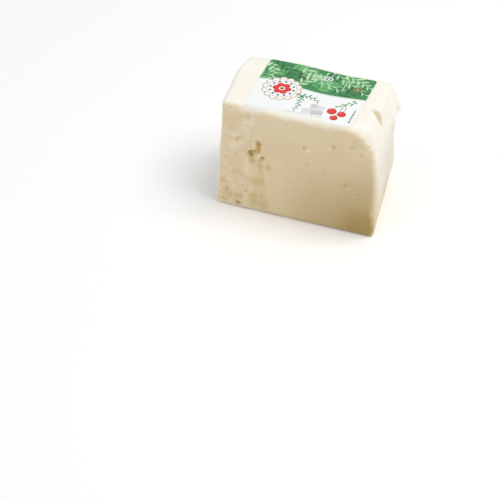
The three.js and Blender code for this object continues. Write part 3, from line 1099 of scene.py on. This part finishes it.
class Grower:
    """A Geometry Nodes tree with named inputs that grows plain meshes."""

    def __init__(self, name: str, sockets: dict[str, str]) -> None:
        """Starts the tree.

        Args:
            name: the tree's name.
            sockets: the type of each input, by the input's name.
        """
        self.tree = bpy.data.node_groups.new(name, "GeometryNodeTree")
        face = self.tree.interface
        self.identifiers = {}
        for socket, kind in sockets.items():
            made = face.new_socket(name=socket, in_out="INPUT", socket_type=f"NodeSocket{kind}")
            self.identifiers[socket] = made.identifier
        face.new_socket(name="Geometry", in_out="OUTPUT", socket_type="NodeSocketGeometry")
        self.recipe = Recipe(self.tree)
        self.given = self.recipe.node("NodeGroupInput").outputs

    def close(self, geometry: Socket) -> None:
        """Ends the tree: its instances become a mesh, in the material of the input of that name."""
        real = self.recipe.node("GeometryNodeRealizeInstances", Geometry=geometry).outputs[0]
        dressed = self.recipe.node("GeometryNodeSetMaterial", Geometry=real, Material=self.given["Material"])
        self.recipe.node("NodeGroupOutput", Geometry=dressed.outputs[0])

    def vary(self, low: float, high: float) -> Socket:
        """Adds a random value for each point, drawn with the tree's own seed."""
        drawn = self.recipe.node("FunctionNodeRandomValue", {"data_type": "FLOAT"}, Min=low, Max=high)
        self.recipe.feed(drawn, "Seed", self.given["Seed"])
        return drawn.outputs["Value"]

    def grow(self, values: dict[str, object]) -> bpy.types.Mesh:
        """Runs the tree once.

        Args:
            values: what each named input is.

        Returns:
            The grown mesh.
        """
        maker = linked("maker", bpy.data.meshes.new("maker"))
        modifier = maker.modifiers.new("grow", "NODES")
        modifier.node_group = self.tree
        for name, value in values.items():
            modifier[self.identifiers[name]] = value
        grown = settled(maker)
        bpy.data.objects.remove(maker)
        return grown


@dataclass(frozen=True)
class Sprig:
    """One printed sprig: a bowed stem with leaves on both sides, in millimetres on the label."""

    start: Pair
    bow: Pair
    tip: Pair
    leaves: int
    leaf: Pair
    ink: Ink
    spread: float = 0.75
    stem: float = 0.3


class LeafGrower(Grower):
    """Sets leaves along a bowed stem."""

    def __init__(self) -> None:
        """Writes the tree."""
        sockets = dict.fromkeys(("Start", "Bow", "Tip"), "Vector")
        sockets |= dict.fromkeys(("Leaf Length", "Leaf Width", "Spread"), "Float")
        sockets |= {"Leaf Count": "Int", "Seed": "Int", "Material": "Material"}
        super().__init__("printed sprig", sockets)
        recipe, given = self.recipe, self.given
        count = given["Leaf Count"]
        ends = {"Start": given["Start"], "Middle": given["Bow"], "End": given["Tip"]}
        stem = recipe.node("GeometryNodeCurveQuadraticBezier", Resolution=14, **ends).outputs[0]
        along = recipe.node("GeometryNodeCurveToPoints", Curve=stem, Count=count).outputs
        number = recipe.node("GeometryNodeInputIndex").outputs[0]
        side = recipe.math("MULTIPLY_ADD", recipe.math("MODULO", number, 2.0), 2.0, -1.0)
        angle = recipe.times(side, given["Spread"])
        turn = recipe.node("FunctionNodeAxisAngleToRotation", Axis=(0, 0, 1), Angle=angle).outputs[0]
        aligned = recipe.node("FunctionNodeAlignRotationToVector", {"axis": "X", "pivot_axis": "Z"})
        recipe.feed(aligned, "Vector", along["Tangent"])
        settings = {"rotation_space": "LOCAL"}
        rotation = recipe.node("FunctionNodeRotateRotation", settings, Rotation=aligned.outputs[0])
        recipe.feed(rotation, "Rotate By", turn)
        shrink = recipe.math("MULTIPLY_ADD", recipe.math("DIVIDE", number, count), -0.45, 1.0)
        inputs = {"Points": along["Points"], "Instance": self.leaf(), "Rotation": rotation.outputs[0]}
        instances = recipe.node("GeometryNodeInstanceOnPoints", **inputs)
        recipe.feed(instances, "Scale", recipe.times(self.vary(0.75, 1.2), shrink))
        joined = recipe.node("GeometryNodeJoinGeometry")
        for piece in (instances, recipe.node("GeometryNodeCurveToMesh", Curve=stem)):
            recipe.feed(joined, "Geometry", piece.outputs[0])
        self.close(joined.outputs[0])

    def leaf(self) -> Socket:
        """Draws one leaf, pointed at both ends, from the origin along +X."""
        recipe = self.recipe
        plate = recipe.node("GeometryNodeMeshCircle", {"fill_type": "NGON"}, Vertices=12).outputs[0]
        spot = recipe.node("GeometryNodeInputPosition").outputs[0]
        x, y, _z = recipe.node("ShaderNodeSeparateXYZ", Vector=spot).outputs
        out = recipe.times(recipe.math("MULTIPLY_ADD", x, 0.5, 0.5), self.given["Leaf Length"])
        pinch = recipe.times(y, recipe.math("POWER", recipe.math("ABSOLUTE", y), 0.5))
        half = recipe.times(pinch, recipe.times(self.given["Leaf Width"], 0.5))
        moved = recipe.node("ShaderNodeCombineXYZ", X=out, Y=half).outputs[0]
        return recipe.node("GeometryNodeSetPosition", Geometry=plate, Position=moved).outputs[0]

    def draw(self, sprig: Sprig, seed: int) -> list[Outline]:
        """Grows one sprig.

        Args:
            sprig: its sizes.
            seed: the seed of its leaves' sizes.

        Returns:
            The outlines of its leaves and its stem.
        """
        length, width = sprig.leaf
        values = {"Start": (*sprig.start, 0.0), "Bow": (*sprig.bow, 0.0), "Tip": (*sprig.tip, 0.0)}
        values |= {"Leaf Length": length, "Leaf Width": width, "Spread": sprig.spread}
        made = self.grow(values | {"Leaf Count": sprig.leaves, "Seed": seed})
        spots = np.array([vertex.co.xy[:] for vertex in made.vertices])
        leaves = [spots[list(polygon.vertices)] for polygon in made.polygons]
        loose = sorted({index for edge in made.edges if edge.is_loose for index in edge.vertices})
        return [*leaves, stroke(spots[loose], sprig.stem)]


class PetalGrower(Grower):
    """Sets round petals in a ring."""

    def __init__(self) -> None:
        """Writes the tree."""
        sockets = {"Petal Count": "Int", "Ring Radius": "Float", "Petal Radius": "Float"}
        super().__init__("printed petals", sockets | {"Material": "Material"})
        recipe, (count, reach, radius, *_others) = self.recipe, self.given
        ring = recipe.node("GeometryNodeCurvePrimitiveCircle", Resolution=count, Radius=reach).outputs[0]
        points = recipe.node("GeometryNodeCurveToPoints", {"mode": "EVALUATED"}, Curve=ring).outputs[0]
        settings = {"fill_type": "NGON"}
        petal = recipe.node("GeometryNodeMeshCircle", settings, Vertices=16, Radius=radius).outputs[0]
        placed = recipe.node("GeometryNodeInstanceOnPoints", Points=points, Instance=petal)
        self.close(placed.outputs[0])

    def draw(self, centre: Pair, count: int, ring: float, petal: float) -> list[Outline]:
        """Grows one ring of petals.

        Args:
            centre: the ring's centre on the label.
            count: how many petals it has.
            ring: the radius that their centres lie on.
            petal: their own radius.

        Returns:
            The petals' outlines.
        """
        made = self.grow({"Petal Count": count, "Ring Radius": ring, "Petal Radius": petal})
        spots = np.array([vertex.co.xy[:] for vertex in made.vertices]) + np.array(centre)
        return [spots[list(polygon.vertices)] for polygon in made.polygons]


def stroke(path: Array, width: float) -> Outline:
    """Gives the outline of a stroke of even width along a path.

    Args:
        path: the points that it follows.
        width: how wide it is.

    Returns:
        The stroke's outline.
    """
    along = np.gradient(path, axis=0)
    along /= np.linalg.norm(along, axis=1, keepdims=True)
    aside = np.stack((-along[:, 1], along[:, 0]), axis=1) * width / 2
    return np.concatenate((path - aside, (path + aside)[::-1]))


def bow(start: Sequence[float], middle: Sequence[float], end: Sequence[float], width: float) -> Outline:
    """Gives the outline of a bowed stroke between two points."""
    share = np.linspace(0, 1, 9)[:, None]
    start, middle, end = (np.array(spot, dtype=float) for spot in (start, middle, end))
    return stroke((1 - share) ** 2 * start + 2 * share * (1 - share) * middle + share**2 * end, width)


def disc(centre: Sequence[float], radius: float, flat: float = 1.0, sides: int = 28) -> Outline:
    """Gives the outline of a disc, or of an oval where flat isn't 1."""
    angles = np.arange(sides) * 2 * np.pi / sides
    return np.stack((np.cos(angles), flat * np.sin(angles)), axis=1) * radius + np.array(centre)


def tile(centre: Sequence[float], size: Sequence[float], turn: float = 0.0, corner: float = 0.0) -> Outline:
    """Gives the outline of a rectangle.

    Args:
        centre: its middle.
        size: its width and depth.
        turn: how far it is turned, in radians.
        corner: the radius of its corners.

    Returns:
        The outline.
    """
    angles = np.linspace(0, np.pi / 2, 7 if corner else 1)
    reach = np.array(size) / 2 - corner
    parts = []
    for quarter, way in enumerate(((1, 1), (-1, 1), (-1, -1), (1, -1))):
        bend = angles + quarter * np.pi / 2
        parts.append(np.stack((np.cos(bend), np.sin(bend)), axis=1) * corner + reach * way)
    cos, sin = math.cos(turn), math.sin(turn)
    return np.concatenate(parts) @ np.array([(cos, sin), (-sin, cos)]) + np.array(centre)


@dataclass
class Print:
    """The label's generic print, as outlines in the order that they are laid down, in millimetres.

    A berry is the x and y of its middle and its radius.
    """

    width: float
    depth: float
    corner: float
    band_front: float = 28.6
    band_wave: float = 2.4
    seal: Pair = (17.4, 23.0)
    seal_radius: float = 12.2
    seed: int = 7
    shapes: list[tuple[Outline, Ink]] = field(default_factory=list)
    sprigs: tuple[Sprig, ...] = (
        Sprig((-1.0, 30.0), (8.0, 44.0), (24.0, 49.0), 13, (8.2, 2.7), Ink.FRESH_GREEN),
        Sprig((4.0, 52.0), (16.0, 47.0), (21.0, 34.0), 11, (7.2, 2.3), Ink.DEEP_GREEN),
        Sprig((1.5, 49.0), (8.0, 40.0), (7.0, 32.0), 9, (5.6, 2.0), Ink.PALE_GREEN),
        Sprig((20.0, 51.5), (31.0, 47.0), (40.0, 35.0), 13, (7.6, 2.5), Ink.FRESH_GREEN),
        Sprig((25.5, 31.0), (30.0, 42.0), (44.0, 50.5), 13, (6.2, 2.0), Ink.PALE_GREEN),
        Sprig((40.0, 51.0), (49.0, 44.0), (51.0, 31.0), 12, (7.4, 2.4), Ink.DEEP_GREEN),
        Sprig((38.0, 30.0), (48.0, 40.0), (63.0, 44.0), 14, (7.2, 2.3), Ink.FRESH_GREEN),
        Sprig((50.0, 52.0), (60.0, 49.0), (70.0, 41.0), 11, (6.4, 2.1), Ink.PALE_GREEN),
        Sprig((55.0, 29.0), (62.0, 36.0), (71.0, 37.0), 9, (6.6, 2.2), Ink.DEEP_GREEN),
        Sprig((24.0, 50.5), (33.0, 39.0), (52.0, 33.5), 12, (7.4, 1.7), Ink.PALE_GREEN),
        Sprig((33.0, 34.0), (46.0, 37.0), (56.0, 50.0), 12, (6.4, 1.5), Ink.FRESH_GREEN),
        Sprig((45.0, 50.5), (57.0, 41.0), (70.5, 33.0), 11, (6.8, 1.6), Ink.PALE_GREEN),
        Sprig((30.0, 21.5), (34.0, 12.0), (31.5, 5.0), 12, (3.6, 1.2), Ink.GREEN, 0.9, 0.4),
        Sprig((30.5, 20.0), (38.0, 21.5), (43.0, 17.0), 9, (3.4, 1.2), Ink.GREEN, 0.9, 0.4),
        Sprig((66.0, 24.0), (60.5, 22.5), (56.4, 17.2), 7, (3.6, 1.5), Ink.FRESH_GREEN, 0.8, 0.4),
    )
    berries: tuple[Triple, ...] = (
        (54.0, 11.0, 3.1),
        (60.6, 10.0, 2.8),
        (57.2, 5.0, 2.5),
    )

    def lay(self, ink: Ink, *outlines: Outline) -> None:
        """Lays outlines down over those before them."""
        self.shapes += [(outline, ink) for outline in outlines]

    def band(self) -> None:
        """Lays the green band along the back, with a pale line at its wavy front and darker fields."""
        along = np.linspace(-1, self.width + 1, 40)
        wave = self.band_front + self.band_wave * np.cos(along / self.width * 1.6 * np.pi)
        far = np.array([(self.width + 1, self.depth + 1), (-1, self.depth + 1)])
        for ink, shift in ((Ink.PALE_GREEN, -0.9), (Ink.PAPER, -0.4), (Ink.GREEN, 0.0)):
            self.lay(ink, np.concatenate((np.stack((along, wave + shift), axis=1), far)))
        self.lay(Ink.DEEP_GREEN, tile((28.0, 41.5), (12.0, 8.4), 0.1), tile((61.5, 38.4), (9.0, 5.2), -0.1))

    def rosette(self, petals: PetalGrower) -> None:
        """Lays the scalloped seal with its tan ring and its red flower."""
        edge = self.seal_radius - 2.1
        for ink, grown in ((Ink.TAN, 0.55), (Ink.PAPER, 0.0)):
            self.lay(ink, *petals.draw(self.seal, 14, edge, 2.1 + grown), disc(self.seal, edge, sides=40))
        for ink, radius in ((Ink.SAND, edge - 0.5), (Ink.PAPER, edge - 1.0)):
            self.lay(ink, disc(self.seal, radius, sides=40))
        self.lay(Ink.NAVY, *petals.draw(self.seal, 12, 7.5, 0.8))
        self.lay(Ink.RED, *petals.draw(self.seal, 6, 3.8, 2.3))
        self.lay(Ink.PAPER, disc(self.seal, 2.0))
        self.lay(Ink.DEEP_RED, disc(self.seal, 1.2))

    def fruit(self) -> None:
        """Lays the pale tiles, and the red berries on their stems."""
        self.lay(Ink.SOFT_GREY, tile((44.6, 10.6), (8.6, 7.2), -0.2), tile((39.4, 6.4), (6.6, 5.0), 0.25))
        self.lay(Ink.GREY, tile((45.8, 6.2), (7.4, 4.6), 0.12), tile((41.8, 12.6), (3.6, 3.0), 0.4))
        for x, y, radius in self.berries:
            self.lay(Ink.GREEN, bow((x, y + 0.8 * radius), (x + 2, y + 6), (59.5, 20.4), 0.42))
            self.lay(Ink.DEEP_RED, disc((x, y), radius))
            self.lay(Ink.RED, disc((x - 0.08 * radius, y + 0.08 * radius), 0.9 * radius))
            self.lay(Ink.BLUSH, disc((x - 0.36 * radius, y + 0.36 * radius), 0.24 * radius, 0.7, 12))

    def bars(self, ink: Ink, start: Sequence[float], end: Sequence[float], wide: float) -> None:
        """Lays a row of small bars of uneven lengths, where a pack has its words.

        Args:
            ink: what they are printed in.
            start: where the row starts.
            end: where it ends.
            wide: how wide the bars are.
        """
        rng = np.random.default_rng(self.seed + len(self.shapes))
        start, end = np.array(start, dtype=float), np.array(end, dtype=float)
        reach = np.linalg.norm(end - start)
        turn = math.atan2(*(end - start)[::-1])
        done = 0.0
        while done < reach:
            long = rng.uniform(1.0, 2.6)
            self.lay(ink, tile(start + (end - start) / reach * (done + long / 2), (long, wide), turn))
            done += long + 0.6

    def marks(self, petals: PetalGrower) -> None:
        """Lays the rows of bars and the rings on the band."""
        self.bars(Ink.DARK_GREY, (67.4, 3.0), (67.4, 17.0), 1.0)
        self.bars(Ink.GREY, (26.0, 2.4), (50.0, 2.4), 0.8)
        self.bars(Ink.PALE_GREEN, (24.0, 43.4), (32.5, 43.9), 0.8)
        self.bars(Ink.PALE_GREEN, (24.2, 40.9), (31.0, 41.4), 0.8)
        self.bars(Ink.PALE_GREEN, (53.0, 33.0), (53.0, 44.0), 0.9)
        for ink, radius in ((Ink.TAN, 2.7), (Ink.DEEP_GREEN, 2.2), (Ink.TAN, 1.3)):
            self.lay(ink, disc((61.6, 38.4), radius))
        self.lay(Ink.PAPER, *petals.draw((41.0, 43.4), 8, 2.1, 0.95))
        self.lay(Ink.DEEP_GREEN, disc((41.0, 43.4), 1.9))
        self.lay(Ink.PAPER, disc((41.0, 43.4), 0.9))

    def draw(self) -> list[tuple[Outline, Ink]]:
        """Lays everything down in order.

        Returns:
            The outlines and their inks.
        """
        petals, leaves = PetalGrower(), LeafGrower()
        middle = (self.width / 2, self.depth / 2)
        self.lay(Ink.PAPER, tile(middle, (self.width, self.depth), 0.0, self.corner))
        self.band()
        for number, sprig in enumerate(self.sprigs):
            self.lay(sprig.ink, *leaves.draw(sprig, self.seed + number))
        self.marks(petals)
        self.fruit()
        self.rosette(petals)
        return self.shapes


@dataclass(frozen=True)
class PaperFinish:
    """Coated paper: the print's own inks with a faint fibre and a satin face."""

    roughness: float = 0.42
    roughness_spread: float = 0.2
    fibre: float = 0.05
    fibre_scale: float = 1500.0
    fibre_bump: float = 0.05
    fibre_depth: float = 0.0002
    specular: float = 0.3

    def material(self) -> bpy.types.Material:
        """Makes the material.

        Returns:
            A material that reads the label's ink attribute.
        """
        made, recipe, shader = new_finish("printed paper")
        coords = recipe.node("ShaderNodeTexCoord").outputs["Object"]
        ink = recipe.node("ShaderNodeAttribute", {"attribute_name": "ink"}).outputs["Color"]
        fibre = recipe.noise(coords, self.fibre_scale, 3)
        worn = recipe.times(fibre, self.fibre)
        recipe.feed(shader, "Base Color", recipe.mix(worn, ink, linear(Ink.PAPER.value)))
        spread = self.roughness_spread
        rough = recipe.math("MULTIPLY_ADD", fibre, spread, self.roughness - spread / 2)
        recipe.feed(shader, "Roughness", rough)
        recipe.feed(shader, "Normal", recipe.bump(fibre, self.fibre_bump, self.fibre_depth))
        recipe.feed(shader, "Specular IOR Level", self.specular)
        return made


@dataclass
class Label:
    """The printed label: a thin closed sheet that follows the top of the block."""

    form: BlockForm
    place: Place
    width: float = 70.0
    depth: float = 52.0
    corner: float = 2.0
    gap: float = 0.04
    thickness: float = 0.14
    grid: float = 1.5
    lift: float = 0.25
    curl_reach: float = 6.0

    def triangulate(self) -> tuple[Array, Array, list[Ink]]:
        """Splits the sheet along every printed outline, with points between for its waves.

        Returns:
            Flat vertices, triangles, and each triangle's ink.
        """
        shapes = Print(self.width, self.depth, self.corner).draw()
        coords, faces = [], []
        for outline, _ink in shapes:
            faces.append(list(range(len(coords), len(coords) + len(outline))))
            coords += [Vector(spot) for spot in outline]
        xs = np.arange(self.grid, self.width - 0.5, self.grid)
        ys = np.arange(self.grid, self.depth - 0.5, self.grid)
        coords += [Vector((x, y)) for x in xs for y in ys]
        spots, _edges, triangles, _ov, _oe, inside = delaunay_2d_cdt(coords, [], faces, 1, 1e-4, True)
        kept = [(triangle, max(owners)) for triangle, owners in zip(triangles, inside) if 0 in owners]
        inks = [shapes[top][1] for _triangle, top in kept]
        return np.array([spot[:] for spot in spots]), np.array([triangle for triangle, _top in kept]), inks

    def raised(self, flat: Array, above: float) -> Array:
        """Lays flat points over the top of the block.

        Args:
            flat: places on the label.
            above: how far above the cheese they lie.

        Returns:
            Points in the block's own frame.
        """
        x, y = flat[:, 0] + self.place.label_x, flat[:, 1] + self.place.label_y
        to_corner = np.hypot(flat[:, 0] - self.width, flat[:, 1])
        curl = self.lift * ease(self.curl_reach, 0, to_corner)
        return np.stack((x, y, self.form.top_height(x, y) + above + curl), axis=1)

    def build(self) -> bpy.types.Object:
        """Makes the label's closed mesh with its inks stored on it.

        Returns:
            The finished object, without a material.
        """
        flat, triangles, inks = self.triangulate()
        used, triangles = np.unique(triangles, return_inverse=True)
        flat, triangles = flat[used], triangles.reshape(-1, 3)
        count = len(flat)
        edges = np.concatenate((triangles[:, [0, 1]], triangles[:, [1, 2]], triangles[:, [2, 0]]))
        twins = {tuple(edge) for edge in edges.tolist()}
        rim = [edge for edge in edges.tolist() if (edge[1], edge[0]) not in twins]
        walls = [(b, a, a + count, b + count) for a, b in rim]
        faces = triangles.tolist() + (triangles[:, ::-1] + count).tolist() + walls
        upper = self.raised(flat, self.gap + self.thickness)
        lower = self.raised(flat, self.gap)
        mesh = bpy.data.meshes.new("label_sheet")
        mesh.from_pydata(self.place.to_frame(np.concatenate((upper, lower))).tolist(), [], faces)
        mesh.shade_smooth()
        mesh.set_sharp_from_angle(angle=math.radians(40))
        colors = [linear(ink.value) for ink in inks for _corner in range(3)]
        bare = [linear(Ink.PAPER.value)] * (len(mesh.loops) - len(colors))
        ink = mesh.attributes.new("ink", "FLOAT_COLOR", "CORNER")
        ink.data.foreach_set("color", np.array(colors + bare).ravel())
        return linked("printed_label", mesh)


class Light(Enum):
    """The studio's lamps: place and size in metres, power in watts and colour."""

    KEY = ((0.58, 0.06, 1.38), 0.9, 12.9, (255, 254, 252))
    FILL = ((-1.2, -1.1, 0.9), 1.2, 4.6, (255, 252, 246))


@dataclass
class Studio:
    """The pale floor, the soft lamps, the surroundings and the camera."""

    place: Place
    look_at: Pair = (36.412, -37.697)
    azimuth: float = 20.527
    elevation: float = 38.678
    distance: float = 1484.9
    lens: float = 172.8
    floor_size: float = 12.0
    floor_color: Triple = (252, 252, 253)
    sky_color: Triple = (250, 250, 250)
    sky_strength: float = 0.55

    def camera(self) -> None:
        """Makes the camera that stands where the photograph was taken from."""
        a, e = math.radians(self.azimuth), math.radians(self.elevation)
        back = Vector((math.sin(a) * math.cos(e), -math.cos(a) * math.cos(e), math.sin(e)))
        aim = Vector(self.place.to_frame(np.array([*self.look_at, 0.0])))
        camera = linked("camera", bpy.data.cameras.new("camera"))
        camera.data.lens = self.lens
        camera.data.clip_end = 50
        point_from(camera, aim + back * self.distance * MM, -back)
        bpy.context.scene.camera = camera

    def floor(self) -> None:
        """Lays the pale floor that the block stands on."""
        half = self.floor_size / 2
        corners = [(-half, -half, 0), (half, -half, 0), (half, half, 0), (-half, half, 0)]
        mesh = bpy.data.meshes.new("floor")
        mesh.from_pydata(corners, [], [(0, 1, 2, 3)])
        finish, recipe, shader = new_finish("pale floor")
        recipe.feed(shader, "Base Color", linear(self.floor_color))
        recipe.feed(shader, "Roughness", 0.9)
        mesh.materials.append(finish)
        linked("floor", mesh)

    def light(self) -> None:
        """Hangs the lamps and lights the surroundings."""
        for lamp in Light:
            spot, size, power, color = lamp.value
            data = bpy.data.lights.new(lamp.name.lower(), "AREA")
            data.size = size
            data.energy = power
            data.color = linear(color)[:3]
            point_from(linked(lamp.name.lower(), data), Vector(spot), -Vector(spot))
        world = bpy.data.worlds.new("studio")
        world.use_nodes = True
        sky = world.node_tree.nodes["Background"]
        sky.inputs["Color"].default_value = linear(self.sky_color)
        sky.inputs["Strength"].default_value = self.sky_strength
        bpy.context.scene.world = world
        bpy.context.scene.view_settings.view_transform = "Standard"

    def build(self) -> None:
        """Sets the whole studio up."""
        self.camera()
        self.floor()
        self.light()


def main() -> None:
    """Builds the block and its label in the studio."""
    logging.basicConfig(level=logging.INFO, format="%(name)s: %(message)s")
    place, form = Place(), BlockForm()
    Studio(place).build()
    cheese = CheeseFinish().material()
    block_piece = CheeseBlock(form, place).build()
    block_piece.data.materials.append(cheese)
    label = Label(form, place).build()
    label.data.materials.append(PaperFinish().material())
    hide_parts(BLOCK_NODE)
    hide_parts(LABEL_NODE)
    for piece, slot in ((block_piece, "cheese"), (label, "label_paper")):
        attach(piece, BODY)
        triangles = sum(len(face.vertices) - 2 for face in piece.data.polygons)
        log.info("%s has %d triangles", piece.name, triangles)


if __name__ == "__main__":
    main()
